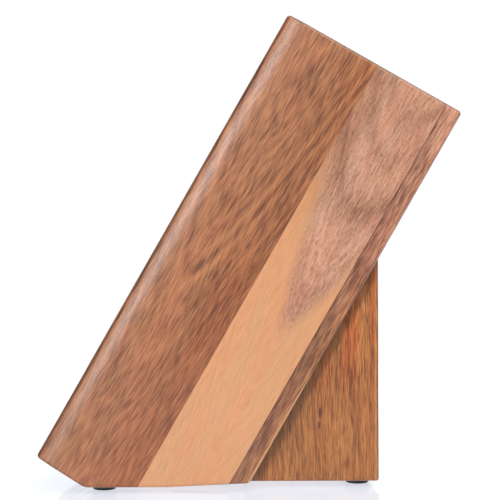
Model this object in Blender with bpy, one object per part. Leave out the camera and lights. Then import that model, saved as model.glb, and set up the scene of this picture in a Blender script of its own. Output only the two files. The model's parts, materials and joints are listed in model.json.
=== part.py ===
"""Slanted acacia knife block on a wedge stand.

Four boards stand side by side, and a layer of thin spacer strips between each two leaves a wide and a
narrow knife slot. The boards and strips are glued into one leaning body, whose foot is sawn level, and
whose front face rests on a wedge. Four rubber feet carry it.

World axes: X runs from the back to the front, where the knife handles come out, Y from left to right as
the user stands, and Z up from the counter. The origin is on the counter, midway between the body's ends.
Body axes, used for everything glued into the body: X is the depth from the back face to the front face,
Y is the world's, and Z runs up along the slots.
"""

import math

import bmesh
import bpy
from mathutils import Matrix, Vector

MM = 0.001

# Body
LEAN = math.radians(60)  # of the slots and the long faces, from the counter
BODY_LENGTH = 259 * MM  # along the slots, at the back face
BODY_DEPTH = 101 * MM  # from the back face to the front face
HEEL_RISE = 15.7 * MM  # from the level foot up to the back corner of the heel
HEEL_SKEW = math.radians(2.5)  # of the heel, the short end behind the level foot, out of square to the slots
HOLLOW_START = 66.9 * MM  # from that corner forward to where the level foot begins to rise
HOLLOW_ANGLE = math.radians(2.6)  # of that rise, which keeps the middle off the counter
SIDE_BOARD = 22 * MM  # thickness
INNER_BOARD = 19 * MM  # thickness
EASING_DEPTH = 11 * MM  # of the eased back edges of the side boards, along the body's depth
EASING_WIDTH = 1.4 * MM  # of that easing, across the body's width
ARRIS = 1.8 * MM  # small round on the other outer edges
SAW_ALLOWANCE = 5 * MM  # of a blank past the heel's back corner, which the heel cut takes off

# Staves, across the body's depth. A side board's middle stave and an inner board's front one take the rest.
SIDE_BACK_STAVE = 52.5 * MM
SIDE_FRONT_STRIP = 9 * MM
INNER_BACK_STAVE = 58 * MM

# Slots. The narrow slot of each layer takes what the strips and the wide slot leave.
SLOT_THICKNESS = 4.8 * MM
EDGE_STRIP = 8 * MM  # back spacer, between the back face and the wide slot
SIDE_WIDE_SLOT = 50 * MM
SIDE_DIVIDER = 8 * MM
CENTRE_WIDE_SLOT = 42 * MM
CENTRE_DIVIDER = 10 * MM
FRONT_STRIP = 8 * MM  # front spacer, between the narrow slot and the front face

# Stand
STAND_BOARD = 32 * MM  # thickness of each of its two boards
STAND_BASE = 69 * MM  # along the counter, from the body's front face to the stand's upright face
STAND_ARRIS = 1.5 * MM

# Dowels between the body and the stand
DOWEL_RADIUS = 4 * MM
DOWEL_LENGTH = 40 * MM
DOWEL_CHAMFER = 0.8 * MM
DOWEL_PLAY = 0.1 * MM  # all round
DOWEL_END_PLAY = 1 * MM  # at each end
DOWEL_COVER = 8 * MM  # least wood of the stand past the hole, which sets how far apart the dowels stand

# Feet
FOOT_RADIUS = 6.35 * MM
FOOT_HEIGHT = 3.1 * MM
FOOT_RIM = 0.7 * MM  # straight side under the wood
FOOT_CONTACT = 5.4 * MM  # radius of the flat that touches the counter
FOOT_FROM_SIDE = 15.6 * MM  # centre to the side of the body, or of the stand
BACK_FOOT_FROM_END = 9 * MM  # centre to the back end of the level foot
FRONT_FOOT_FROM_END = 9.7 * MM  # centre to the stand's upright face

GLUE_LINE = 0.1 * MM
EASING_STEPS = 5
ARRIS_STEPS = 3
ROUND_SIDES = 24
FOOT_SIDES = 32
FOOT_STEPS = 6

# Modelling tolerances
SAME_POINT = 1e-7  # metres
ON_PLANE = 0.01 * MM
SQUARE_ON = 0.999  # least part of a face's normal along an axis for the face to be square to it
FACING = 0.5  # least part of it for the face to look that way at all
SHARP_CORNER = math.radians(20)  # least turn of an edge that is rounded over
SMOOTH_BELOW = math.radians(40)  # greatest turn of an edge that is shaded smooth

TILT = math.pi / 2 - LEAN
BODY_WIDTH = 2 * SIDE_BOARD + 2 * INNER_BOARD + 3 * SLOT_THICKNESS + 6 * GLUE_LINE
STAND_WIDTH = 2 * STAND_BOARD + GLUE_LINE
BASE_HEIGHT = FOOT_HEIGHT + GLUE_LINE  # of the level foot over the counter
HALF_SPAN = (BODY_LENGTH * math.cos(LEAN) + BODY_DEPTH * math.sin(LEAN)) / 2

# The body's own axes stand at the back corner of the heel.
BODY_TO_WORLD = (
    Matrix.Translation((-HALF_SPAN, 0, BASE_HEIGHT + HEEL_RISE)) @ Matrix.Rotation(TILT, 4, "Y")
)
WORLD_TO_BODY = BODY_TO_WORLD.inverted()

# Where the level foot begins, and where the body's front face meets it
FOOT_START_X = -HALF_SPAN + HEEL_RISE / math.tan(TILT + HEEL_SKEW)
FRONT_FOOT_LENGTH = (BODY_DEPTH * math.cos(LEAN) - HEEL_RISE) / math.sin(LEAN)
FRONT_FACE_X = (BODY_TO_WORLD @ Vector((BODY_DEPTH, 0, FRONT_FOOT_LENGTH))).x

INNER_BOARD_Y = (SLOT_THICKNESS + INNER_BOARD) / 2 + GLUE_LINE
SIDE_SLOT_Y = SLOT_THICKNESS + INNER_BOARD + 2 * GLUE_LINE

# Colour (linear), roughness and metallic of each material
FINISHES = {
    "brown_heartwood": ((0.40, 0.19, 0.10), 0.45, 0.0),
    "pale_sapwood": ((0.75, 0.40, 0.20), 0.45, 0.0),
    "dark_heartwood": ((0.20, 0.09, 0.06), 0.45, 0.0),
    "inner_wood": ((0.45, 0.23, 0.12), 0.50, 0.0),
    "spacer_wood": ((0.52, 0.28, 0.15), 0.50, 0.0),
    "stand_wood": ((0.42, 0.18, 0.08), 0.45, 0.0),
    "dowel_wood": ((0.70, 0.50, 0.30), 0.60, 0.0),
    "black_rubber": ((0.012, 0.011, 0.011), 0.55, 0.0),
}


def clear_scene():
    for obj in list(bpy.data.objects):
        bpy.data.objects.remove(obj, do_unlink=True)


def material(name):
    """The Principled material of this finish, made once."""
    found = bpy.data.materials.get(name)
    if found:
        return found
    colour, roughness, metallic = FINISHES[name]
    made = bpy.data.materials.new(name)
    made.use_nodes = True
    shader = made.node_tree.nodes["Principled BSDF"]
    shader.inputs["Base Color"].default_value = (*colour, 1)
    shader.inputs["Roughness"].default_value = roughness
    shader.inputs["Metallic"].default_value = metallic
    return made


def new_empty(name, matrix):
    empty = bpy.data.objects.new(name, None)
    bpy.context.scene.collection.objects.link(empty)
    empty.matrix_world = matrix
    return empty


def new_object(name, mesh, finish, parent, location=(0, 0, 0)):
    """Links an object for this mesh, with its finish, at a place under its parent."""
    obj = bpy.data.objects.new(name, mesh)
    if not mesh.materials:
        mesh.materials.append(material(finish))
    bpy.context.scene.collection.objects.link(obj)
    obj.parent = parent
    obj.location = location
    return obj


def finished_mesh(name, bm):
    """The mesh of a bmesh, shaded smooth except at its corners."""
    bmesh.ops.recalc_face_normals(bm, faces=bm.faces)
    mesh = bpy.data.meshes.new(name)
    bm.to_mesh(mesh)
    bm.free()
    mesh.shade_smooth()
    mesh.set_sharp_from_angle(angle=SMOOTH_BELOW)
    return mesh


def cut_away(bm, point, normal):
    """Removes what lies past a plane, on its normal's side, and closes the cut."""
    everything = bm.verts[:] + bm.edges[:] + bm.faces[:]
    cut = bmesh.ops.bisect_plane(
        bm,
        geom=everything,
        dist=SAME_POINT,
        plane_co=point,
        plane_no=normal,
        clear_outer=True,
    )
    rim = [part for part in cut["geom_cut"] if isinstance(part, bmesh.types.BMEdge)]
    bmesh.ops.holes_fill(bm, edges=rim, sides=0)


def box_between(low, high):
    """A bmesh of the box between two corners."""
    low, high = Vector(low), Vector(high)
    bm = bmesh.new()
    size = Matrix.Diagonal((*(high - low), 1))
    bmesh.ops.create_cube(bm, size=1, matrix=Matrix.Translation((low + high) / 2) @ size)
    return bm


def ease_back_edge(bm):
    """Draws the left side board's outer face in towards its back edge, along a shallow arc."""
    for step in range(EASING_STEPS):
        everything = bm.verts[:] + bm.edges[:] + bm.faces[:]
        across = (EASING_DEPTH * (step + 1) / EASING_STEPS, 0, 0)
        bmesh.ops.bisect_plane(bm, geom=everything, dist=SAME_POINT, plane_co=across, plane_no=(1, 0, 0))
    for vert in bm.verts:
        reach = 1 - vert.co.x / EASING_DEPTH
        if reach > 0 and vert.co.y < -BODY_WIDTH / 2 + SIDE_BOARD / 2:
            vert.co.y += EASING_WIDTH * reach**2


def saw_foot(bm):
    """Cuts the heel and the level foot of a piece of the body, and hollows the foot towards the stand."""
    down = WORLD_TO_BODY.to_3x3() @ Vector((0, 0, -1))
    foot = WORLD_TO_BODY @ Vector((FOOT_START_X, 0, BASE_HEIGHT))
    rise = Matrix.Rotation(-HOLLOW_ANGLE, 3, "Y") @ Vector((0, 0, -1))
    hollow = WORLD_TO_BODY @ Vector((-HALF_SPAN + HOLLOW_START, 0, BASE_HEIGHT))
    cut_away(bm, (0, 0, 0), (-math.sin(HEEL_SKEW), 0, -math.cos(HEEL_SKEW)))
    cut_away(bm, foot, down)
    cut_away(bm, hollow, WORLD_TO_BODY.to_3x3() @ rise)


def on_skin(face):
    """Is this face on the outside of the body, and not against a glue line?"""
    middle = face.calc_center_median()
    if abs(face.normal.y) > SQUARE_ON:
        return abs(middle.y) > BODY_WIDTH / 2 - ON_PLANE
    if abs(face.normal.x) > SQUARE_ON:
        return middle.x < ON_PLANE or middle.x > BODY_DEPTH - ON_PLANE
    return True


def ease_arrises(bm, outside, offset):
    """Rounds the edges where two outside faces meet at a corner."""
    bmesh.ops.recalc_face_normals(bm, faces=bm.faces)
    edges = []
    for edge in bm.edges:
        turn = edge.calc_face_angle()
        if turn > SHARP_CORNER and all(outside(face) for face in edge.link_faces):
            edges.append(edge)
    bmesh.ops.bevel(
        bm,
        geom=edges,
        offset=offset,
        offset_type="OFFSET",
        segments=ARRIS_STEPS,
        profile=0.5,
        affect="EDGES",
        clamp_overlap=False,
        material=-1,
    )


def side_stave_mesh(name, depth_low, depth_high, mirrored):
    """A stave of a side board, between two depths. The right board mirrors the left one."""
    low = (depth_low, -BODY_WIDTH / 2, -SAW_ALLOWANCE)
    bm = box_between(low, (depth_high, -BODY_WIDTH / 2 + SIDE_BOARD, BODY_LENGTH))
    saw_foot(bm)
    ease_arrises(bm, on_skin, ARRIS)
    if depth_low < EASING_DEPTH:
        ease_back_edge(bm)
    if mirrored:
        bmesh.ops.scale(bm, vec=(1, -1, 1), verts=bm.verts)
    return finished_mesh(name, bm)


def layer_piece_mesh(name, depth_low, depth_high, thickness):
    """A square-edged stave or strip of the body about Y = 0, between two depths."""
    low = (depth_low, -thickness / 2, -SAW_ALLOWANCE)
    bm = box_between(low, (depth_high, thickness / 2, BODY_LENGTH))
    saw_foot(bm)
    ease_arrises(bm, lambda face: abs(face.normal.y) < FACING and on_skin(face), ARRIS)
    return finished_mesh(name, bm)


def stave_edges(*joints):
    """The lowest and highest depth of each stave of a board, given the depths of its glue lines."""
    starts = [0, *(joint + GLUE_LINE / 2 for joint in joints)]
    ends = [*(joint - GLUE_LINE / 2 for joint in joints), BODY_DEPTH]
    return list(zip(starts, ends))


def make_side_boards(body):
    names = ("back_stave", "middle_stave", "front_strip")
    finishes = ("brown_heartwood", "pale_sapwood", "dark_heartwood")
    for side, mirrored in (("left", False), ("right", True)):
        edges = stave_edges(SIDE_BACK_STAVE, BODY_DEPTH - SIDE_FRONT_STRIP)
        for part, finish, (low, high) in zip(names, finishes, edges):
            name = f"{side}_side_{part}"
            new_object(name, side_stave_mesh(name, low, high, mirrored), finish, body)


def make_inner_boards(body):
    """Returns the front staves, which the dowels go into."""
    front_staves = {}
    for side, direction in (("left", -1), ("right", 1)):
        for part, (low, high) in zip(("back", "front"), stave_edges(INNER_BACK_STAVE)):
            name = f"{side}_inner_{part}_stave"
            mesh = layer_piece_mesh(name, low, high, INNER_BOARD)
            place = (0, direction * INNER_BOARD_Y, 0)
            front_staves[side] = new_object(name, mesh, "inner_wood", body, place)
    return front_staves


def make_slot_layers(body):
    layers = (
        ("left", -SIDE_SLOT_Y, SIDE_WIDE_SLOT, SIDE_DIVIDER),
        ("centre", 0, CENTRE_WIDE_SLOT, CENTRE_DIVIDER),
        ("right", SIDE_SLOT_Y, SIDE_WIDE_SLOT, SIDE_DIVIDER),
    )
    for layer, y, wide_slot, divider in layers:
        divider_start = EDGE_STRIP + wide_slot
        strips = (
            ("back_spacer", 0, EDGE_STRIP),
            ("divider", divider_start, divider_start + divider),
            ("front_spacer", BODY_DEPTH - FRONT_STRIP, BODY_DEPTH),
        )
        for part, low, high in strips:
            name = f"{layer}_slot_{part}"
            mesh = layer_piece_mesh(name, low, high, SLOT_THICKNESS)
            new_object(name, mesh, "spacer_wood", body, (0, y, 0))


def stand_board_mesh(name, side):
    """One board of the stand, upright at the front and cut along the body's front face."""
    height = STAND_BASE * math.tan(LEAN)
    board = box_between((0, 0, 0), (STAND_BASE, STAND_BOARD, height))
    glue = GLUE_LINE / math.sin(LEAN)
    cut_away(board, (glue, 0, 0), (-math.sin(LEAN), 0, math.cos(LEAN)))

    def outside(face):
        against_body = face.normal.x < -FACING
        against_board = face.normal.y * side < -FACING
        return not against_body and not against_board

    start = GLUE_LINE / 2 if side > 0 else -GLUE_LINE / 2 - STAND_BOARD
    bmesh.ops.translate(board, verts=board.verts, vec=(0, start, 0))
    ease_arrises(board, outside, STAND_ARRIS)
    return finished_mesh(name, board)


def make_stand():
    place = new_empty("stand_place", Matrix.Translation((FRONT_FACE_X, 0, BASE_HEIGHT)))
    boards = {}
    for name, side in (("left", -1), ("right", 1)):
        mesh = stand_board_mesh(f"stand_{name}_board", side)
        boards[name] = new_object(f"stand_{name}_board", mesh, "stand_wood", place)
    return boards


def cylinder_mesh(name, radius, length, chamfer=0):
    """A cylinder along X about the origin, with chamfered ends where a chamfer is given."""
    bm = bmesh.new()
    bmesh.ops.create_cone(
        bm,
        cap_ends=True,
        segments=ROUND_SIDES,
        radius1=radius,
        radius2=radius,
        depth=length,
        matrix=Matrix.Rotation(math.pi / 2, 4, "Y"),
    )
    if chamfer:
        ends = [face for face in bm.faces if abs(face.normal.x) > FACING]
        rims = {edge for face in ends for edge in face.edges}
        bmesh.ops.bevel(
            bm,
            geom=list(rims),
            offset=chamfer,
            segments=1,
            profile=0.5,
            affect="EDGES",
            material=-1,
        )
    return finished_mesh(name, bm)


def bore(obj, cutter):
    """Cuts a hole in a piece with a Boolean."""
    modifier = obj.modifiers.new(cutter.name, "BOOLEAN")
    modifier.operation = "DIFFERENCE"
    modifier.solver = "EXACT"
    modifier.object = cutter


def dowel_places(hole_radius, hole_length):
    """The lowest and highest places of a dowel along the front face where its hole keeps its cover."""
    wood = hole_length / 2 + DOWEL_COVER
    lowest = wood / math.tan(LEAN) + hole_radius
    highest = STAND_BASE / math.cos(LEAN) - wood * math.tan(LEAN) - hole_radius
    return (("lower", FRONT_FOOT_LENGTH + lowest), ("upper", FRONT_FOOT_LENGTH + highest))


def make_dowels(body, front_staves, boards):
    """Two dowels a side, square to the body's front face, half in a stave and half in a stand board."""
    dowel = cylinder_mesh("dowel", DOWEL_RADIUS, DOWEL_LENGTH, DOWEL_CHAMFER)
    hole_radius = DOWEL_RADIUS + DOWEL_PLAY
    hole_length = DOWEL_LENGTH + 2 * DOWEL_END_PLAY
    hole = cylinder_mesh("dowel_hole", hole_radius, hole_length)
    for side, direction in (("left", -1), ("right", 1)):
        for place, along in dowel_places(hole_radius, hole_length):
            centre = (BODY_DEPTH, direction * INNER_BOARD_Y, along)
            new_object(f"{side}_{place}_dowel", dowel, "dowel_wood", body, centre)
            cutter = new_object(f"{side}_{place}_dowel_hole", hole, "dowel_wood", body, centre)
            cutter.hide_render = True
            cutter.display_type = "WIRE"
            bore(front_staves[side], cutter)
            bore(boards[side], cutter)


def foot_mesh():
    """A round rubber foot with bulging sides, turned about its own upright axis, and flat at the bottom."""
    profile = [(0, FOOT_HEIGHT), (FOOT_RADIUS, FOOT_HEIGHT)]
    for step in range(FOOT_STEPS + 1):
        turn = step * math.pi / 2 / FOOT_STEPS
        radius = FOOT_CONTACT + (FOOT_RADIUS - FOOT_CONTACT) * math.cos(turn)
        profile.append((radius, (FOOT_HEIGHT - FOOT_RIM) * (1 - math.sin(turn))))
    profile.append((0, 0))
    bm = bmesh.new()
    verts = [bm.verts.new((radius, 0, height)) for radius, height in profile]
    edges = [bm.edges.new(pair) for pair in zip(verts, verts[1:])]
    bmesh.ops.spin(
        bm,
        geom=verts + edges,
        axis=(0, 0, 1),
        cent=(0, 0, 0),
        angle=2 * math.pi,
        steps=FOOT_SIDES,
        use_merge=True,
    )
    bmesh.ops.remove_doubles(bm, verts=bm.verts, dist=SAME_POINT)
    return finished_mesh("foot", bm)


def make_feet():
    mesh = foot_mesh()
    back_x = FOOT_START_X + BACK_FOOT_FROM_END
    front_x = FRONT_FACE_X + STAND_BASE - FRONT_FOOT_FROM_END
    for end, x, width in (("back", back_x, BODY_WIDTH), ("front", front_x, STAND_WIDTH)):
        for side, direction in (("left", -1), ("right", 1)):
            y = direction * (width / 2 - FOOT_FROM_SIDE)
            new_object(f"{end}_{side}_foot", mesh, "black_rubber", None, (x, y, 0))


def main():
    clear_scene()
    body = new_empty("body_place", BODY_TO_WORLD)
    make_side_boards(body)
    front_staves = make_inner_boards(body)
    make_slot_layers(body)
    boards = make_stand()
    make_dowels(body, front_staves, boards)
    make_feet()


main()
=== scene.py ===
"""Looks of a slanted acacia knife block: rounded boards, figured wood, rubber feet and a white studio.

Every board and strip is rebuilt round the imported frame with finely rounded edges. The body's are laid out in
its own axes: across, from the back face to the front face, then the width, then along the slots.
"""

import json
import math

import bmesh
import bpy
from mathutils import Matrix, Vector


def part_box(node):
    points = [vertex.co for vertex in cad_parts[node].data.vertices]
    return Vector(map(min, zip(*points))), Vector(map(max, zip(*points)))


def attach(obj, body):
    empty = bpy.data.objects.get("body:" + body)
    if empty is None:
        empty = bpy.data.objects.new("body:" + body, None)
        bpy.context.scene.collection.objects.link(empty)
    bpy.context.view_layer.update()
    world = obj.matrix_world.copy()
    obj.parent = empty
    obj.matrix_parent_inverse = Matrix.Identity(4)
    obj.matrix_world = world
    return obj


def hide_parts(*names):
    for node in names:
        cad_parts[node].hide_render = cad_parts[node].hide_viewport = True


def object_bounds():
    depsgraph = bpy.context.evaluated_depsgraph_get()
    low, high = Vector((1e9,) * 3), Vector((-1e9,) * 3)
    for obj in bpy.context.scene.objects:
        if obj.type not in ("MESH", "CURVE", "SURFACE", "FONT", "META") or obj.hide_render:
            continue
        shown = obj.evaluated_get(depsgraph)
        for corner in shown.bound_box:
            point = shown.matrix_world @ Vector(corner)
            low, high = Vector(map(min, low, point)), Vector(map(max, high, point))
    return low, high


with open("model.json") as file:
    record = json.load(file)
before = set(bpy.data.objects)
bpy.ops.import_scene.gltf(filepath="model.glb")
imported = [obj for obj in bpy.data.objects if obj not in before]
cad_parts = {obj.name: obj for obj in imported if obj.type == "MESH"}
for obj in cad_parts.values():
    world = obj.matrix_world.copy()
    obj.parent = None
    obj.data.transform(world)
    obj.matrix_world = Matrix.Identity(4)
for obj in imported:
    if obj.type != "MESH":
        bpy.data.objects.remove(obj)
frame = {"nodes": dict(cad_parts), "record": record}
CAD_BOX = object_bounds()

bl_info = {
    "name": "Slanted knife block",
    "version": (1, 0, 0),
    "blender": (4, 5, 0),
    "location": "View3D > Sidebar > Knife block",
    "description": "Builds a slanted acacia knife block and its studio",
    "category": "Object",
}

MM = 0.001
BODY = "root"
SIDES = (("left", -1), ("right", 1))
SIDE_NAMES = {side: name for name, side in SIDES}
LAYERS = ("left", "centre", "right")

SAME_POINT = 1e-7  # metres
ON_PLANE = 0.02 * MM
SQUARE_ON = 0.999  # least part of a face's normal along an axis for the face to be square to it
FACING = 0.5  # least part of it for the face to look that way at all
SHARP_CORNER = math.radians(20)  # least turn of an edge that is rounded over
SMOOTH_BELOW = math.radians(24)  # greatest turn of an edge that is shaded smooth
ARRIS_STEPS = 8
EASING_STEPS = 24
HOLE_SIDES = 48
FOOT_SIDES = 72
SAW_ALLOWANCE = 10 * MM  # a blank's spare wood, past where a cut takes it off


def slot_direction():
    """The direction of the slots, from the record's slotted face."""
    mounts = {mount["name"]: mount for mount in frame["record"]["mounts"]}
    return Vector(mounts["slotted_face"]["axis"]).normalized()


ALONG = slot_direction()
ACROSS = Vector((0, 1, 0)).cross(ALONG)
TILT = math.atan2(ALONG.x, ALONG.z)
TO_BODY = Matrix((ACROSS, (0, 1, 0), ALONG))
TO_WORLD = TO_BODY.transposed()
NO_TURN = Matrix.Identity(3)


class Span:
    """The lowest and highest corners of some CAD nodes, along turned axes."""

    def __init__(self, turn, *nodes):
        points = [turn @ vert.co for name in nodes for vert in frame["nodes"][name].data.vertices]
        self.low = Vector(min(point[i] for point in points) for i in range(3))
        self.high = Vector(max(point[i] for point in points) for i in range(3))

    @property
    def size(self):
        return self.high - self.low

    @property
    def middle(self):
        return (self.low + self.high) / 2


BODY_NODES = [name for name in frame["nodes"] if "_side_" in name or "_slot_" in name or "_inner_" in name]
WHOLE_BODY = Span(TO_BODY, *BODY_NODES)
WHOLE_STAND = Span(NO_TURN, "stand_left_board", "stand_right_board")
FEET = [name for name in frame["nodes"] if name.endswith("_foot")]


# Settings


def length(name, description, default):
    return bpy.props.FloatProperty(
        name=name, description=description, default=default, min=0, unit="LENGTH", subtype="DISTANCE"
    )


def angle(name, description, degrees):
    return bpy.props.FloatProperty(
        name=name, description=description, default=math.radians(degrees), subtype="ANGLE", unit="ROTATION"
    )


def colour(name, description, default):
    return bpy.props.FloatVectorProperty(
        name=name, description=description, default=default, size=3, min=0, max=1, subtype="COLOR"
    )


def factor(name, description, default, highest=1.0):
    return bpy.props.FloatProperty(
        name=name, description=description, default=default, min=0, max=highest, subtype="FACTOR"
    )


def power(name, watts):
    return bpy.props.FloatProperty(name=name, description="Watts", default=watts, min=0)


class KnifeBlockShape(bpy.types.PropertyGroup):
    """Roundings and joints of the boards"""

    easing_depth: length("Easing depth", "Eased back edges, along the body's depth", 11 * MM)
    easing_width: length("Easing width", "Eased back edges, across the body's width", 1.4 * MM)
    arris: length("Arris", "Small round on the body's outer edges", 1.8 * MM)
    stand_arris: length("Stand arris", "Small round on the stand's outer edges", 1.5 * MM)
    joint_take_up: length("Joint take-up", "How far each glued side grows into its glue line", 0.04 * MM)


class KnifeBlockWood(bpy.types.PropertyGroup):
    """Colours and finish of the wood and the rubber"""

    brown: colour("Brown heartwood", "Back staves of the side boards", (0.355, 0.133, 0.048))
    sapwood: colour("Pale sapwood", "Blond part of the middle staves", (0.655, 0.320, 0.146))
    pink: colour("Pinkish heartwood", "Figured tongue of the middle staves", (0.500, 0.254, 0.156))
    purple: colour("Purplish heartwood", "Front strips of the side boards", (0.252, 0.100, 0.042))
    inner: colour("Inner boards", "Boards between the slots", (0.470, 0.225, 0.115))
    spacer: colour("Spacers", "Thin strips between the boards", (0.560, 0.300, 0.160))
    stand: colour("Stand", "Warm brown of the wedge", (0.478, 0.182, 0.047))
    beech: colour("Beech", "Dowels in the joint", (0.640, 0.440, 0.260))
    rubber: colour("Rubber", "Feet", (0.018, 0.016, 0.016))
    gloss: factor("Lacquer gloss", "Smoothness of the lacquer", 0.64)


class KnifeBlockStudio(bpy.types.PropertyGroup):
    """Camera and lights"""

    camera_distance: length("Camera distance", "From the near side board", 600 * MM)
    camera_height: length("Camera height", "Over the counter", 118.7 * MM)
    camera_aside: length("Camera aside", "Behind the middle", 18.85 * MM)
    camera_turn: angle("Camera turn", "Towards the back of the block", 0.64)
    camera_dip: angle("Camera dip", "Down from level", 0.47)
    camera_roll: angle("Camera roll", "Clockwise", 0.29)
    shift_aside: factor("Shift aside", "Of the frame, in frame widths", 0.1045)
    shift_up: factor("Shift up", "Of the frame, in frame widths", 0.0396)
    lens: bpy.props.FloatProperty(name="Lens", description="Focal length in mm", default=85.31, min=1)
    strip_power: power("Strip light", 3.8)
    front_power: power("Front light", 6.4)
    top_power: power("Top light", 4.4)


# Shader expressions


class Field:
    """A value, vector or colour that changes over a surface: the output socket of a node."""

    def __init__(self, maker, socket):
        self.maker = maker
        self.socket = socket

    def _with(self, operation, first, second):
        return self.maker.maths(operation, first, second)

    def __add__(self, other):
        return self._with("ADD", self, other)

    __radd__ = __add__

    def __sub__(self, other):
        return self._with("SUBTRACT", self, other)

    def __rsub__(self, other):
        return self._with("SUBTRACT", other, self)

    def __mul__(self, other):
        return self._with("MULTIPLY", self, other)

    __rmul__ = __mul__

    def __truediv__(self, other):
        return self._with("DIVIDE", self, other)

    def __rtruediv__(self, other):
        return self._with("DIVIDE", other, self)


class Maker:
    """Adds nodes to one new material, or to the world."""

    def __init__(self, name, kind="materials", shader="Principled BSDF"):
        self.made = getattr(bpy.data, kind).new(name)
        self.made.use_nodes = True
        self.nodes = self.made.node_tree.nodes
        self.links = self.made.node_tree.links
        self.shader = self.nodes[shader]

    def node(self, kind, inputs=None, stops=None, **settings):
        """A new node with its settings, and the values or links of its sockets."""
        made = self.nodes.new(kind)
        for setting, value in settings.items():
            setattr(made, setting, value)
        if stops:
            self.set_stops(made.color_ramp, stops)
        for key, value in (inputs or {}).items():
            self.feed(made.inputs[key], value)
        return made

    def set_stops(self, ramp, stops):
        """Stops as (position, colour) pairs, on a new ramp's two and as many more as needed."""
        ramp.elements[0].position = stops[0][0]
        ramp.elements[1].position = stops[-1][0]
        for position, _ in stops[1:-1]:
            ramp.elements.new(position)
        for element, (_, value) in zip(ramp.elements, stops):
            element.color = (*value, 1)

    def feed(self, socket, value):
        """Links a field to a socket, or sets the socket's value."""
        if isinstance(value, Field):
            self.links.new(value.socket, socket)
        else:
            socket.default_value = value

    def maths(self, operation, *values):
        made = self.node("ShaderNodeMath", dict(enumerate(values)), operation=operation)
        return Field(self, made.outputs[0])

    def vector_maths(self, operation, *values):
        made = self.node("ShaderNodeVectorMath", dict(enumerate(values)), operation=operation)
        return Field(self, made.outputs[0])

    def parts(self, vector):
        made = self.node("ShaderNodeSeparateXYZ", {0: vector})
        return [Field(self, output) for output in made.outputs]

    def noise(self, vector, detail=2.0, roughness=0.5):
        """Smooth noise of about one cycle for each unit of the vector, as a value and as a vector."""
        inputs = {"Vector": vector, "Scale": 1, "Detail": detail, "Roughness": roughness}
        made = self.node("ShaderNodeTexNoise", inputs)
        return [Field(self, output) for output in made.outputs]

    def bands(self, value, detail=2.0, roughness=0.5):
        """Smooth noise along one value."""
        inputs = {"W": value, "Scale": 1, "Detail": detail, "Roughness": roughness}
        made = self.node("ShaderNodeTexNoise", inputs, noise_dimensions="1D")
        return Field(self, made.outputs[0])

    def step(self, value, low, high):
        """0 below low and 1 above high, with a smooth rise between."""
        inputs = {"Value": value, "From Min": low, "From Max": high}
        made = self.node("ShaderNodeMapRange", inputs, interpolation_type="SMOOTHSTEP")
        return Field(self, made.outputs[0])

    def mix(self, share, first, second, blend_type="MIX"):
        """Colours mixed, with first where the share is 0 and second where it is 1."""
        made = self.node("ShaderNodeMix", {0: share}, data_type="RGBA", blend_type=blend_type)
        for key, value in ((6, first), (7, second)):
            self.feed(made.inputs[key], value if isinstance(value, Field) else (*value, 1))
        return Field(self, made.outputs[2])

    def ramp(self, value, stops):
        made = self.node("ShaderNodeValToRGB", {0: value}, stops=stops)
        return Field(self, made.outputs[0])

    def read(self, kind, output):
        """An output of a node that has no inputs of its own."""
        return Field(self, self.node(kind).outputs[output])

    def places(self, turn, start):
        """Object coordinates in millimetres along turned axes, from a start on those axes."""
        inputs = {
            "Vector": self.read("ShaderNodeTexCoord", "Object"),
            "Location": tuple(-value / MM for value in start),
            "Rotation": turn,
            "Scale": (1 / MM, 1 / MM, 1 / MM),
        }
        return Field(self, self.node("ShaderNodeMapping", inputs).outputs[0])


def times(rgb, *scales):
    """A colour with each channel multiplied."""
    if len(scales) == 1:
        scales = scales * 3
    return tuple(min(1.0, value * scale) for value, scale in zip(rgb, scales))


# Wood

SEED_STEPS = (37.1, 11.7, 53.9)  # how far apart the patterns of two seeds lie, in millimetres
RAMP_LENGTH = 260  # of wood that a board's arcs are laid along, in millimetres
HEEL_SLOPE = 0.0437  # rise of the heel for each millimetre of the body's depth


class Grain:
    """What sets one board's grain apart. Lengths are in millimetres, in the piece's own turned axes."""

    def __init__(self, seed, pith=(25, 30), taper=0.12, ring=1.8, rings=0.5, streaks=0.5, blotches=0.4,
                 pores=0.5, pore_length=5.0, wander=3.0):
        self.seed = seed
        self.pith = pith
        self.taper = taper
        self.ring = ring
        self.rings = rings
        self.streaks = streaks
        self.blotches = blotches
        self.pores = pores
        self.pore_length = pore_length
        self.wander = wander


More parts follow.
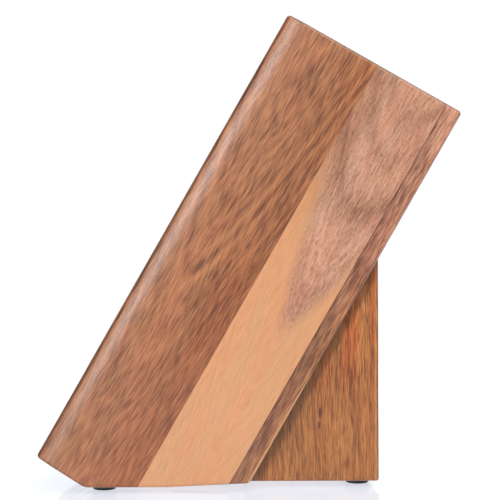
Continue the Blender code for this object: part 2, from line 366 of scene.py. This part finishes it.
class Timber:
    """The fields of one board's wood, on which its colours are laid."""

    def __init__(self, maker, grain, places):
        shifted = maker.vector_maths("ADD", places, tuple(grain.seed * step for step in SEED_STEPS))
        _, slow = maker.noise(self.scaled(maker, shifted, 30, 30, 80), detail=1)
        sway = maker.vector_maths("SUBTRACT", slow, (0.5, 0.5, 0.5))
        sway = maker.vector_maths("MULTIPLY", sway, (2 * grain.wander, 2 * grain.wander, 0))
        swayed = maker.vector_maths("ADD", shifted, sway)
        x, y, z = maker.parts(maker.vector_maths("ADD", places, sway))
        out_x = x - grain.pith[0]
        out_y = y - grain.pith[1]
        self.radius = maker.maths("SQRT", out_x * out_x + out_y * out_y) - z * grain.taper
        self.across, self.depth, self.along = maker.parts(places)
        self.maker = maker
        self.out_x = out_x
        self.swayed_depth = y
        self.swayed_along = z
        self.rings = maker.bands(self.radius / grain.ring + grain.seed * 7.3, detail=3, roughness=0.6)
        self.fine = self.streak(maker, swayed, 0.5, 8, 1)
        self.middling = self.streak(maker, swayed, 1.0, 18, 1)
        self.broad = self.streak(maker, swayed, 3.5, 55, 1)
        self.blotch = self.streak(maker, swayed, 17, 42, 2)
        self.hue = self.streak(maker, swayed, 9, 75, 2)
        self.hairs = self.streak(maker, swayed, 0.7, 10, 1)
        self.pores = self.streak(maker, swayed, 0.7, grain.pore_length, 1)

    @staticmethod
    def scaled(maker, vector, width, depth, along):
        return maker.vector_maths("MULTIPLY", vector, (1 / width, 1 / depth, 1 / along))

    def streak(self, maker, vector, width, along, detail):
        value, _ = maker.noise(self.scaled(maker, vector, width, width, along), detail=detail, roughness=0.55)
        return value

    def tips(self, near, pith_depth, taper):
        """How far up the board the arc through each point has its tip, on the face at the near depth."""
        out_y = self.maker.maths("ABSOLUTE", self.swayed_depth - near) - pith_depth
        radius = self.maker.maths("SQRT", self.out_x * self.out_x + out_y * out_y)
        return self.swayed_along - (radius - pith_depth) / taper

    def arcs(self, tips, stops):
        """Tones of the rings, given as (tip, tone) stops. The tips stray by a few millimetres."""
        greys = [(place / RAMP_LENGTH, (tone, tone, tone)) for place, tone in stops]
        return self.maker.ramp(tips / RAMP_LENGTH + (self.blotch - 0.5) * 0.03, greys)


def tone_of(timber, grain):
    """Light and dark of the figure, about 0.5."""
    tone = 0.5 + (timber.rings - 0.5) * grain.rings
    tone = tone + (timber.fine - 0.5) * grain.streaks * 1.15
    tone = tone + (timber.hairs - 0.5) * grain.streaks * 1.35
    tone = tone + (timber.middling - 0.5) * grain.streaks * 0.3
    tone = tone + (timber.broad - 0.5) * grain.streaks * 0.32
    return tone + (timber.blotch - 0.5) * grain.blotches


def wood_colours(base):
    """Dark, middle and light stops about a wood's colour."""
    return [
        (0.18, times(base, 0.46, 0.38, 0.34)),
        (0.38, times(base, 0.78, 0.73, 0.70)),
        (0.52, base),
        (0.68, times(base, 1.20, 1.26, 1.32)),
        (0.88, times(base, 1.44, 1.56, 1.68)),
    ]


def darkened(maker, coloured, share, shade):
    """A colour, multiplied by the shade where the share is 1."""
    return maker.mix(share, coloured, maker.mix(1.0, coloured, shade, "MULTIPLY"))


def finish_wood(maker, timber, grain, coloured, gloss, painted_edge_shade=None, open_pores=1.0):
    """Lays pores, painted shade on the edges, lacquer and relief over a board's colours."""
    coloured = darkened(maker, coloured, maker.step(timber.hue, 0.36, 0.66), (1.05, 0.95, 0.93))
    pored = maker.step(timber.pores, 0.53, 0.66) * grain.pores * open_pores
    coloured = darkened(maker, coloured, pored, (0.56, 0.47, 0.42))
    # Painted shade along the rounded edges, where the mask is 1.
    if painted_edge_shade:
        coloured = darkened(maker, coloured, painted_edge_shade, (0.42, 0.40, 0.40))
    rough = (1 - gloss) + pored * 0.16 + (timber.hairs - 0.5) * 0.3
    relief = timber.hairs + timber.fine * 0.5 - pored * 0.6
    bump = maker.node("ShaderNodeBump", {"Strength": 0.5, "Distance": 0.09 * MM, "Height": relief})
    maker.feed(maker.shader.inputs["Base Color"], coloured)
    maker.feed(maker.shader.inputs["Roughness"], rough)
    maker.feed(maker.shader.inputs["Normal"], Field(maker, bump.outputs[0]))
    maker.shader.inputs["Coat Weight"].default_value = 0.35
    maker.shader.inputs["Coat Roughness"].default_value = 0.20
    return maker.made


def body_edge_shading(maker, timber):
    """1 on the ends of the body and along its long faces: painted shade on their rounded edges."""
    width = WHOLE_BODY.size.x / MM
    height = WHOLE_BODY.size.z / MM
    back = 1 - maker.step(timber.across, 0.3, 2.6)
    front = maker.step(timber.across, width - 1.2, width - 0.2)
    top = maker.step(timber.along, height - 1.4, height - 0.5)
    heel = 1 - maker.step(timber.along + timber.across * HEEL_SLOPE, 1.3, 2.4)
    sides = maker.maths("MAXIMUM", back * 0.85, front * 0.6)
    ends = maker.maths("MAXIMUM", top * 0.75, heel * 0.5)
    return maker.maths("MAXIMUM", sides, ends)


def body_places(maker):
    return maker.places((0, -TILT, 0), WHOLE_BODY.low)


def stand_places(maker):
    return maker.places((0, 0, 0), WHOLE_STAND.low)


def plain_board(name, base, grain, gloss):
    """A board of the body, of one wood."""
    maker = Maker(name)
    timber = Timber(maker, grain, body_places(maker))
    coloured = maker.ramp(tone_of(timber, grain), wood_colours(base))
    return finish_wood(maker, timber, grain, coloured, gloss, body_edge_shading(maker, timber))


def back_board(name, base, near, grain, gloss):
    """The brown back stave of a side board, with nested arcs halfway up."""
    maker = Maker(name)
    timber = Timber(maker, grain, body_places(maker))
    stops = [
        (20, 0.50), (50, 0.44), (75, 0.54), (92, 0.47), (108, 0.50), (118, 0.68), (130, 0.32), (142, 0.66),
        (150, 0.50), (155, 0.34), (160, 0.52), (166, 0.40), (174, 0.52), (215, 0.50), (240, 0.56),
    ]
    tone = tone_of(timber, grain) + (timber.arcs(timber.tips(near, 15, 0.16), stops) - 0.5) * 1.0
    knot = oval(maker, timber.across, timber.along, (25, 236), (6, 14))
    tone = tone - knot * 0.17 - maker.step(timber.across, 12, 50) * 0.07
    coloured = maker.ramp(tone, wood_colours(base))
    low = maker.step(timber.across, 26, 46) * (1 - maker.step(timber.along, 110, 190))
    coloured = darkened(maker, coloured, low, (0.99, 0.88, 0.80))
    coloured = darkened(maker, coloured, maker.step(timber.across, 14, 48), (0.97, 0.93, 0.84))
    return finish_wood(maker, timber, grain, coloured, gloss, body_edge_shading(maker, timber))


def oval(maker, first, second, centre, radii):
    """1 inside an oval of two coordinates, falling smoothly to 0 about its rim."""
    out = (first - centre[0]) / radii[0]
    up = (second - centre[1]) / radii[1]
    return 1 - maker.step(maker.maths("SQRT", out * out + up * up), 0.45, 1.25)


def half_and_half(name, sapwood, heartwood, near, grain, gloss):
    """A board of blond sapwood, with a tongue of heartwood that starts halfway down.

    High up, it is browner towards the back stave.
    """
    maker = Maker(name)
    timber = Timber(maker, grain, body_places(maker))
    tone = tone_of(timber, grain)
    sap = maker.ramp(0.5 + (tone - 0.5) * 0.3, wood_colours(sapwood))
    stops = [
        (112, 0.60), (122, 0.50), (134, 0.42), (148, 0.50), (168, 0.66), (180, 0.50), (190, 0.32),
        (198, 0.52), (210, 0.60), (222, 0.38), (232, 0.56), (245, 0.40), (254, 0.56),
    ]
    tone = tone + (timber.arcs(timber.tips(near, 20, 0.30), stops) - 0.5) * 0.8
    heart = maker.ramp(tone, wood_colours(heartwood))
    tips = timber.tips(near, 4, 0.26) + (timber.hairs - 0.5) * 30 + (timber.broad - 0.5) * 14
    inside = maker.step(tips, 108, 136)
    coloured = maker.mix(inside, sap, heart)
    start = (Span(TO_BODY, "left_side_middle_stave").low.x - WHOLE_BODY.low.x) / MM
    place = timber.across + (timber.broad - 0.5) * 8
    brown = (1 - maker.step(place, start + 4, start + 15)) * maker.step(timber.along, 150, 210)
    coloured = darkened(maker, coloured, brown, (0.78, 0.74, 0.66))
    return finish_wood(maker, timber, grain, coloured, gloss, body_edge_shading(maker, timber), inside * 0.94 + 0.06)


def edge_strip(name, base, sapwood, grain, gloss):
    """A narrow strip of dark heartwood, with a pale line low on its outer edge, in the sapwood colour."""
    maker = Maker(name)
    timber = Timber(maker, grain, body_places(maker))
    high = maker.step(timber.along, 125, 185)
    dark = maker.ramp(tone_of(timber, grain) + high * 0.12, wood_colours(base))
    dark = darkened(maker, dark, high, (1.60, 1.84, 2.60))
    width = WHOLE_BODY.size.x / MM
    start = (Span(TO_BODY, "left_side_front_strip").low.x - WHOLE_BODY.low.x) / MM
    dark = darkened(maker, dark, 1 - maker.step(timber.across, start + 0.2, start + 1.1), (0.62, 0.58, 0.58))
    place = timber.across + (timber.broad - 0.5) * 3
    brown = maker.step(place, width - 4.6, width - 3.2) * (1 - high * 0.8)
    dark = darkened(maker, dark, brown, (1.35, 1.35, 1.10))
    from_side = maker.maths("MINIMUM", timber.depth, WHOLE_BODY.size.y / MM - timber.depth)
    edge = width - 1.9 + timber.along * 0.006 + maker.step(timber.along, 70, 142) * 1.3 + from_side * 0.15
    pale = maker.step(timber.across - edge - (timber.broad - 0.5) * 1.2, 0, 0.4)
    coloured = maker.mix(pale, dark, sapwood)
    return finish_wood(maker, timber, grain, coloured, gloss, body_edge_shading(maker, timber) * (1 - pale))


def stand_wood(name, base, grain, gloss):
    """A board of the stand, with painted shade that darkens it along the body, a painted highlight and painted
    shade on its outer edge, and a pin mark low in the middle.
    """
    maker = Maker(name)
    timber = Timber(maker, grain, stand_places(maker))
    across, _, up = timber.across, timber.depth, timber.along
    width = WHOLE_STAND.size.x / MM
    coloured = maker.ramp(tone_of(timber, grain), wood_colours(base))
    # Painted shade of the body on the stand: darker within a few millimetres of the body's front face.
    from_body = across * math.cos(TILT) - up * math.sin(TILT)
    coloured = darkened(maker, coloured, 1 - maker.step(from_body, 2, 8), (0.70, 0.76, 0.66))
    reddish = maker.step(up, 35, 75) * maker.step(timber.hue, 0.42, 0.58)
    coloured = darkened(maker, coloured, reddish, (1.12, 0.86, 0.72))
    coloured = darkened(maker, coloured, 1 - maker.step(up, 40, 100), (0.75, 0.72, 0.60))
    upper = oval(maker, across, up, (38.3, 35.6), (0.8, 3.0))
    lower = oval(maker, across, up, (37.8, 29.3), (0.75, 2.2))
    coloured = darkened(maker, coloured, maker.maths("MAXIMUM", upper, lower), (0.36, 0.28, 0.28))
    # Painted highlight: a pale line just in from the rounded outer edge.
    pale = maker.step(across, width - 2.6, width - 2.0) * (1 - maker.step(across, width - 1.2, width - 0.6))
    coloured = maker.mix(pale * 0.35, coloured, times(base, 1.6, 1.9, 2.3))
    # Painted shade: a dark line on the very outer edge.
    painted_edge_shade = maker.step(across, width - 0.9, width - 0.1) * 0.6
    return finish_wood(maker, timber, grain, coloured, gloss, painted_edge_shade)


def rubber(name, base):
    """Moulded rubber with a fine matte skin."""
    maker = Maker(name)
    places = maker.places((0, 0, 0), (0, 0, 0))
    skin, _ = maker.noise(maker.vector_maths("MULTIPLY", places, (3, 3, 3)), detail=3)
    coloured = maker.ramp(skin, [(0.3, times(base, 0.7)), (0.7, times(base, 1.5))])
    bump = maker.node("ShaderNodeBump", {"Strength": 0.4, "Distance": 0.03 * MM, "Height": skin})
    maker.feed(maker.shader.inputs["Base Color"], coloured)
    maker.feed(maker.shader.inputs["Roughness"], 0.42 + skin * 0.25)
    maker.feed(maker.shader.inputs["Normal"], Field(maker, bump.outputs[0]))
    return maker.made


# Shapes


def cut_away(bm, point, normal):
    """Removes what lies past a plane, on its normal's side, and closes the cut."""
    everything = bm.verts[:] + bm.edges[:] + bm.faces[:]
    cut = bmesh.ops.bisect_plane(
        bm, geom=everything, dist=SAME_POINT, plane_co=point, plane_no=normal, clear_outer=True
    )
    rim = [part for part in cut["geom_cut"] if isinstance(part, bmesh.types.BMEdge)]
    bmesh.ops.holes_fill(bm, edges=rim, sides=0)


def box_between(low, high):
    bm = bmesh.new()
    size = Matrix.Diagonal((*(high - low), 1))
    bmesh.ops.create_cube(bm, size=1, matrix=Matrix.Translation((low + high) / 2) @ size)
    return bm


def foot_planes():
    """Points and normals, in body axes, of the heel, the level foot and its slight rise towards the stand."""
    planes = {}
    for part in ("back", "middle"):
        for face in frame["nodes"][f"left_side_{part}_stave"].data.polygons:
            if face.normal.z < -0.8 and face.area > 100 * MM * MM:
                planes[round(face.normal.x, 2)] = (TO_BODY @ face.center, TO_BODY @ face.normal)
    return list(planes.values())


FOOT_PLANES = foot_planes()


def saw_foot(bm):
    for point, normal in FOOT_PLANES:
        cut_away(bm, point, normal)


def round_edges(bm, outside, offset):
    """Rounds the edges where two outside faces meet at a corner."""
    bmesh.ops.recalc_face_normals(bm, faces=bm.faces)
    edges = []
    for edge in bm.edges:
        if len(edge.link_faces) != 2 or edge.calc_face_angle() < SHARP_CORNER:
            continue
        if all(outside(face) for face in edge.link_faces):
            edges.append(edge)
    bmesh.ops.bevel(
        bm,
        geom=edges,
        offset=offset,
        offset_type="OFFSET",
        segments=ARRIS_STEPS,
        profile=0.5,
        affect="EDGES",
        clamp_overlap=False,
        material=-1,
    )


def bake(piece):
    """Makes what the modifiers leave into the piece's own mesh."""
    bpy.context.view_layer.update()
    made = bpy.data.meshes.new_from_object(piece.evaluated_get(bpy.context.evaluated_depsgraph_get()))
    piece.modifiers.clear()
    piece.data = made


def piece_from(bm, name, turn, material, slot, *nodes):
    """Turns a bmesh in its own axes into a finished piece that stands for CAD nodes."""
    bmesh.ops.transform(bm, matrix=turn.to_4x4(), verts=bm.verts)
    bmesh.ops.recalc_face_normals(bm, faces=bm.faces)
    mesh = bpy.data.meshes.new(name)
    bm.to_mesh(mesh)
    bm.free()
    mesh.shade_smooth()
    mesh.set_sharp_from_angle(angle=SMOOTH_BELOW)
    mesh.materials.append(material)
    piece = bpy.data.objects.new(name, mesh)
    bpy.context.scene.collection.objects.link(piece)
    flatter = piece.modifiers.new("flat faces stay flat", "WEIGHTED_NORMAL")
    flatter.weight = 100
    flatter.keep_sharp = True
    bake(piece)
    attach(piece, BODY)
    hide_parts(*nodes)
    return piece


def in_body(face):
    """Is this face on the outside of the body, and not against a joint?"""
    middle = face.calc_center_median()
    if abs(face.normal.y) > SQUARE_ON:
        return not WHOLE_BODY.low.y + ON_PLANE < middle.y < WHOLE_BODY.high.y - ON_PLANE
    if abs(face.normal.x) > SQUARE_ON:
        return not WHOLE_BODY.low.x + ON_PLANE < middle.x < WHOLE_BODY.high.x - ON_PLANE
    return True


def ease_back_edge(bm, shape, side, inner):
    """Draws the outer face in towards the back edge, along a shallow arc."""
    back = WHOLE_BODY.low.x
    for step in range(EASING_STEPS):
        everything = bm.verts[:] + bm.edges[:] + bm.faces[:]
        across = (back + shape.easing_depth * (step + 1) / EASING_STEPS, 0, 0)
        bmesh.ops.bisect_plane(bm, geom=everything, dist=SAME_POINT, plane_co=across, plane_no=(1, 0, 0))
    for vert in bm.verts:
        reach = 1 - (vert.co.x - back) / shape.easing_depth
        if reach > 0 and abs(vert.co.y - inner) > shape.arris / 2:
            vert.co.y -= side * shape.easing_width * reach**2


def grown(span, shape):
    """The span with each of its glued sides grown into its glue line."""
    low, high = span.low.copy(), span.high.copy()
    for axis in (0, 1):
        if low[axis] > WHOLE_BODY.low[axis] + ON_PLANE:
            low[axis] -= shape.joint_take_up
        if high[axis] < WHOLE_BODY.high[axis] - ON_PLANE:
            high[axis] += shape.joint_take_up
    return low, high


def side_stave(shape, side, part, material, slot):
    """One stave of a side board."""
    name = f"{SIDE_NAMES[side]}_side_{part}"
    low, high = grown(Span(TO_BODY, name), shape)
    low.z, high.z = WHOLE_BODY.low.z, WHOLE_BODY.high.z
    bm = box_between(low, high)
    saw_foot(bm)
    round_edges(bm, in_body, shape.arris)
    if part == "back_stave":
        ease_back_edge(bm, shape, side, high.y if side < 0 else low.y)
    return piece_from(bm, f"{name}_wood", TO_WORLD, material, slot, name)


def layer_piece(shape, name, material, slot):
    """A square-edged stave or strip of the body."""
    low, high = grown(Span(TO_BODY, name), shape)
    low.z, high.z = WHOLE_BODY.low.z, WHOLE_BODY.high.z
    bm = box_between(low, high)
    saw_foot(bm)
    round_edges(bm, lambda face: abs(face.normal.y) < FACING and in_body(face), shape.arris)
    return piece_from(bm, f"{name}_wood", TO_WORLD, material, slot, name)


def bore(piece, *dowels, play=0.1 * MM, end_play=1.0 * MM):
    """Cuts the holes for some dowels, which lie square to the body's front face."""
    for name in dowels:
        span = Span(TO_BODY, name)
        bm = bmesh.new()
        bmesh.ops.create_cone(
            bm, cap_ends=True, segments=HOLE_SIDES, radius1=span.size.z / 2 + play,
            radius2=span.size.z / 2 + play, depth=span.size.x + 2 * end_play,
            matrix=TO_WORLD.to_4x4() @ Matrix.Translation(span.middle) @ Matrix.Rotation(math.pi / 2, 4, "Y"),
        )
        mesh = bpy.data.meshes.new("hole")
        bm.to_mesh(mesh)
        bm.free()
        cutter = bpy.data.objects.new("hole", mesh)
        bpy.context.scene.collection.objects.link(cutter)
        modifier = piece.modifiers.new("hole", "BOOLEAN")
        modifier.operation = "DIFFERENCE"
        modifier.solver = "EXACT"
        modifier.object = cutter
        bake(piece)
        bpy.data.objects.remove(cutter)


def stand_board(shape, side, material, slot):
    """One board of the wedge, cut along the body's front face."""
    name = f"stand_{SIDE_NAMES[side]}_board"
    span = Span(NO_TURN, name)
    low, high = span.low.copy(), span.high.copy()
    if side < 0:
        high.y += shape.joint_take_up
    else:
        low.y -= shape.joint_take_up
    face_x = Span(TO_BODY, name).low.x - shape.joint_take_up
    low.x -= SAW_ALLOWANCE
    high.z += SAW_ALLOWANCE
    bm = box_between(low, high)
    on_face = TO_WORLD @ Vector((face_x, 0, 0))
    cut_away(bm, on_face, TO_WORLD @ Vector((-1, 0, 0)))

    def outside(face):
        return face.normal.x > -FACING and face.normal.y * side > -FACING

    round_edges(bm, outside, shape.stand_arris)
    piece = piece_from(bm, f"{name}_wood", NO_TURN, material, slot, name)
    bore(piece, *(f"{SIDE_NAMES[side]}_{place}_dowel" for place in ("lower", "upper")))
    return piece


def foot(name, material):
    """A domed rubber foot, turned about its own upright axis."""
    low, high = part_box(name)
    radius = (high.x - low.x) / 2
    height = high.z - low.z
    contact = 0.85 * radius
    rim = 0.2 * height
    chamfer = 0.25 * MM
    steps = 16
    profile = [
        Vector((0, 0, height)), Vector((radius - chamfer, 0, height)), Vector((radius, 0, height - chamfer))
    ]
    for step in range(steps + 1):
        turn = step * math.pi / 2 / steps
        across = contact + (radius - contact) * math.cos(turn)
        profile.append(Vector((across, 0, (height - rim) * (1 - math.sin(turn)))))
    profile.append(Vector((0, 0, 0)))
    bm = bmesh.new()
    verts = [bm.verts.new(point) for point in profile]
    edges = [bm.edges.new(pair) for pair in zip(verts, verts[1:])]
    bmesh.ops.spin(
        bm, geom=verts + edges, axis=(0, 0, 1), cent=(0, 0, 0), angle=2 * math.pi, steps=FOOT_SIDES,
        use_merge=True,
    )
    bmesh.ops.remove_doubles(bm, verts=bm.verts, dist=1e-6)
    bmesh.ops.translate(bm, verts=bm.verts, vec=((low.x + high.x) / 2, (low.y + high.y) / 2, low.z))
    return piece_from(bm, f"{name}_rubber", NO_TURN, material, "black_rubber", name)


# Operators


class KNIFEBLOCK_OT_side_boards(bpy.types.Operator):
    """Build the three staves of each side board"""

    bl_idname = "knifeblock.side_boards"
    bl_label = "Side boards"

    def execute(self, context):
        shape = context.scene.knife_block_shape
        wood = context.scene.knife_block_wood
        width = WHOLE_BODY.size.y / MM
        for name, side in SIDES:
            seed = 1 + (side > 0)
            near = 0 if side < 0 else width
            grain = Grain(seed, pith=(21, near - side * 11), taper=0.11, ring=1.5, rings=0.35, streaks=0.7,
                          blotches=0.35, pores=0.35, pore_length=9)
            brown = back_board(f"{name}_brown_heartwood", wood.brown, near, grain, wood.gloss)
            side_stave(shape, side, "back_stave", brown, "brown_heartwood")
            grain = Grain(seed + 4, pith=(78, near - side * 4), taper=0.26, ring=1.6, rings=0.3, streaks=0.35,
                          blotches=0.2, pores=0.6, pore_length=2.4)
            pale = half_and_half(f"{name}_pale_sapwood", wood.sapwood, wood.pink, near, grain, wood.gloss)
            side_stave(shape, side, "middle_stave", pale, "pale_sapwood")
            grain = Grain(seed + 9, pith=(98, near - side * 30), taper=0.03, ring=1.4, rings=0.9, streaks=0.9,
                          blotches=0.7, pores=0.5)
            dark = edge_strip(f"{name}_dark_heartwood", wood.purple, wood.sapwood, grain, wood.gloss)
            side_stave(shape, side, "front_strip", dark, "dark_heartwood")
        return {"FINISHED"}


class KNIFEBLOCK_OT_inner_boards(bpy.types.Operator):
    """Build the two staves of each inner board, and bore the front ones for their dowels"""

    bl_idname = "knifeblock.inner_boards"
    bl_label = "Inner boards"

    def execute(self, context):
        shape = context.scene.knife_block_shape
        wood = context.scene.knife_block_wood
        middle = WHOLE_BODY.size.y / 2 / MM
        for name, side in SIDES:
            for number, part in enumerate(("back", "front")):
                seed = 20 + 3 * number + (side > 0)
                pith = (30 + 44 * number, middle + side * (12 - 34 + 10 * number))
                grain = Grain(seed, pith=pith, taper=0.05, ring=2.4, rings=0.6, streaks=0.7, blotches=0.5)
                base = times(wood.inner, 1.0 + 0.16 * (number - 0.5) * side)
                node = f"{name}_inner_{part}_stave"
                material = plain_board(f"{node}_wood", base, grain, wood.gloss)
                piece = layer_piece(shape, node, material, "inner_wood")
                if part == "front":
                    bore(piece, f"{name}_lower_dowel", f"{name}_upper_dowel")
        return {"FINISHED"}


class KNIFEBLOCK_OT_slot_strips(bpy.types.Operator):
    """Build the spacers and dividers that leave the slots between the boards"""

    bl_idname = "knifeblock.slot_strips"
    bl_label = "Slot strips"

    def execute(self, context):
        shape = context.scene.knife_block_shape
        wood = context.scene.knife_block_wood
        for row, layer in enumerate(LAYERS):
            for number, part in enumerate(("back_spacer", "divider", "front_spacer")):
                seed = 40 + 3 * row + number
                grain = Grain(seed, pith=(10 + 35 * number, -20 + 9 * row), taper=0.03, ring=1.6, rings=0.5,
                              streaks=0.7)
                base = times(wood.spacer, 0.86 + 0.12 * ((row + 2 * number) % 3))
                node = f"{layer}_slot_{part}"
                material = plain_board(f"{node}_wood", base, grain, wood.gloss)
                layer_piece(shape, node, material, "spacer_wood")
        return {"FINISHED"}


class KNIFEBLOCK_OT_stand(bpy.types.Operator):
    """Build the two boards of the wedge-shaped stand"""

    bl_idname = "knifeblock.stand"
    bl_label = "Stand"

    def execute(self, context):
        shape = context.scene.knife_block_shape
        wood = context.scene.knife_block_wood
        for name, side in SIDES:
            seed = 60 + (side > 0)
            grain = Grain(seed, pith=(70, 32 + side * 50), taper=0.01, ring=2.6, rings=0.7, streaks=0.75,
                          blotches=0.4, pores=0.45)
            material = stand_wood(f"stand_{name}_wood", wood.stand, grain, wood.gloss)
            stand_board(shape, side, material, "stand_wood")
        return {"FINISHED"}


class KNIFEBLOCK_OT_dowels(bpy.types.Operator):
    """Finish the beech dowels, which keep their CAD shape"""

    bl_idname = "knifeblock.dowels"
    bl_label = "Dowels"

    def execute(self, context):
        wood = context.scene.knife_block_wood
        for name, side in SIDES:
            grain = Grain(70 + side, pith=(0, 0), taper=0, ring=1.1, rings=0.3, streaks=0.4, blotches=0.2)
            material = plain_board(f"{name}_beech", wood.beech, grain, 0.3)
            for place in ("lower", "upper"):
                slot = frame["nodes"][f"{name}_{place}_dowel"].material_slots[0]
                slot.link = "OBJECT"
                slot.material = material
        return {"FINISHED"}


class KNIFEBLOCK_OT_feet(bpy.types.Operator):
    """Turn the four rubber feet"""

    bl_idname = "knifeblock.feet"
    bl_label = "Feet"

    def execute(self, context):
        material = rubber("moulded_rubber", context.scene.knife_block_wood.rubber)
        for name in FEET:
            foot(name, material)
        return {"FINISHED"}


class KNIFEBLOCK_OT_studio(bpy.types.Operator):
    """Set up the pale floor, the soft lights and the camera"""

    bl_idname = "knifeblock.studio"
    bl_label = "Studio"

    def execute(self, context):
        studio = context.scene.knife_block_studio
        low, high = CAD_BOX
        centre = (low + high) / 2
        make_floor(centre, low.z)
        make_backdrop_light()
        add_light("strip", centre, (-0.25, -0.95, 0.215), 1.0, (0.12, 0.70), studio.strip_power, TILT)
        add_light("front", centre, (0.25, -0.62, 0.74), 1.0, (0.9, 0.6), studio.front_power)
        add_light("top", centre, (0.1, 0.25, 0.96), 1.1, (1.3, 1.3), studio.top_power)
        add_camera(studio, low, centre)
        return {"FINISHED"}


# Studio


def make_floor(centre, height):
    bm = bmesh.new()
    bmesh.ops.create_grid(bm, x_segments=1, y_segments=1, size=700 * MM)
    bmesh.ops.translate(bm, verts=bm.verts, vec=(centre.x, centre.y, height))
    mesh = bpy.data.meshes.new("floor")
    bm.to_mesh(mesh)
    bm.free()
    maker = Maker("white_acrylic")
    places = maker.places((0, 0, 0), (0, 0, 0))
    cloud, _ = maker.noise(maker.vector_maths("MULTIPLY", places, (0.01, 0.01, 0.01)))
    maker.feed(
        maker.shader.inputs["Base Color"],
        maker.ramp(cloud, [(0.3, (0.24, 0.24, 0.25)), (0.7, (0.26, 0.26, 0.27))]),
    )
    maker.shader.inputs["Roughness"].default_value = 0.03
    maker.shader.inputs["IOR"].default_value = 1.18
    maker.shader.inputs["Emission Color"].default_value = (0.86, 0.91, 1.0, 1)
    maker.shader.inputs["Emission Strength"].default_value = 0.70
    mesh.materials.append(maker.made)
    floor = bpy.data.objects.new("floor", mesh)
    bpy.context.scene.collection.objects.link(floor)


def make_backdrop_light():
    """A white surround to the eye, which lights the object strongly from behind and softly elsewhere."""
    maker = Maker("studio", "worlds", "Background")
    bpy.context.scene.world = maker.made
    _, behind, _ = maker.parts(maker.read("ShaderNodeTexCoord", "Generated"))
    glow = 0.25 + maker.step(behind, 0.35, 0.85) * 0.75
    to_eye = maker.read("ShaderNodeLightPath", "Is Camera Ray")
    maker.feed(maker.shader.inputs["Strength"], maker.maths("MAXIMUM", glow, to_eye))
    maker.shader.inputs["Color"].default_value = (1, 1, 1, 1)


def add_light(name, target, direction, distance, size, power, lean=0.0):
    """A rectangular soft light that looks at the target, leaning to the right as the camera sees it."""
    data = bpy.data.lights.new(name, "AREA")
    data.shape = "RECTANGLE"
    data.size, data.size_y = size
    data.energy = power
    light = bpy.data.objects.new(name, data)
    away = Vector(direction).normalized()
    light.location = target + away * distance
    aim = away.to_track_quat("Z", "Y").to_matrix() @ Matrix.Rotation(-lean, 3, "Z")
    light.rotation_euler = aim.to_euler()
    bpy.context.scene.collection.objects.link(light)


def add_camera(studio, low, centre):
    data = bpy.data.cameras.new("camera")
    data.sensor_width = 36  # millimetres, as the lens is
    data.lens = studio.lens
    camera = bpy.data.objects.new("camera", data)
    data.shift_x = studio.shift_aside
    data.shift_y = studio.shift_up
    camera.location = (centre.x - studio.camera_aside, low.y - studio.camera_distance, studio.camera_height)
    aim = Matrix.Rotation(studio.camera_turn, 3, "Z")
    aim = aim @ Matrix.Rotation(math.pi / 2 - studio.camera_dip, 3, "X")
    camera.rotation_euler = (aim @ Matrix.Rotation(-studio.camera_roll, 3, "Z")).to_euler()
    bpy.context.scene.collection.objects.link(camera)
    bpy.context.scene.camera = camera


# Panel and registration


OPERATORS = (
    KNIFEBLOCK_OT_studio,
    KNIFEBLOCK_OT_side_boards,
    KNIFEBLOCK_OT_inner_boards,
    KNIFEBLOCK_OT_slot_strips,
    KNIFEBLOCK_OT_stand,
    KNIFEBLOCK_OT_dowels,
    KNIFEBLOCK_OT_feet,
)

GROUPS = {
    "knife_block_shape": KnifeBlockShape,
    "knife_block_wood": KnifeBlockWood,
    "knife_block_studio": KnifeBlockStudio,
}


class KNIFEBLOCK_PT_panel(bpy.types.Panel):
    """Lists the steps and the settings"""

    bl_idname = "KNIFEBLOCK_PT_panel"
    bl_label = "Knife block"
    bl_space_type = "VIEW_3D"
    bl_region_type = "UI"
    bl_category = "Knife block"

    def draw(self, context):
        for operator in OPERATORS:
            self.layout.operator(operator.bl_idname)
        for name, group in GROUPS.items():
            box = self.layout.box()
            for setting in group.__annotations__:
                box.prop(getattr(context.scene, name), setting)


def register():
    for group in GROUPS.values():
        bpy.utils.register_class(group)
    for operator in OPERATORS:
        bpy.utils.register_class(operator)
    bpy.utils.register_class(KNIFEBLOCK_PT_panel)
    for name, group in GROUPS.items():
        setattr(bpy.types.Scene, name, bpy.props.PointerProperty(type=group))


def unregister():
    for name in GROUPS:
        delattr(bpy.types.Scene, name)
    bpy.utils.unregister_class(KNIFEBLOCK_PT_panel)
    for operator in reversed(OPERATORS):
        bpy.utils.unregister_class(operator)
    for group in reversed(GROUPS.values()):
        bpy.utils.unregister_class(group)


def main():
    register()
    bpy.context.scene.view_settings.view_transform = "Standard"
    for operator in OPERATORS:
        group, name = operator.bl_idname.split(".")
        getattr(getattr(bpy.ops, group), name)()


if __name__ == "__main__":
    main()
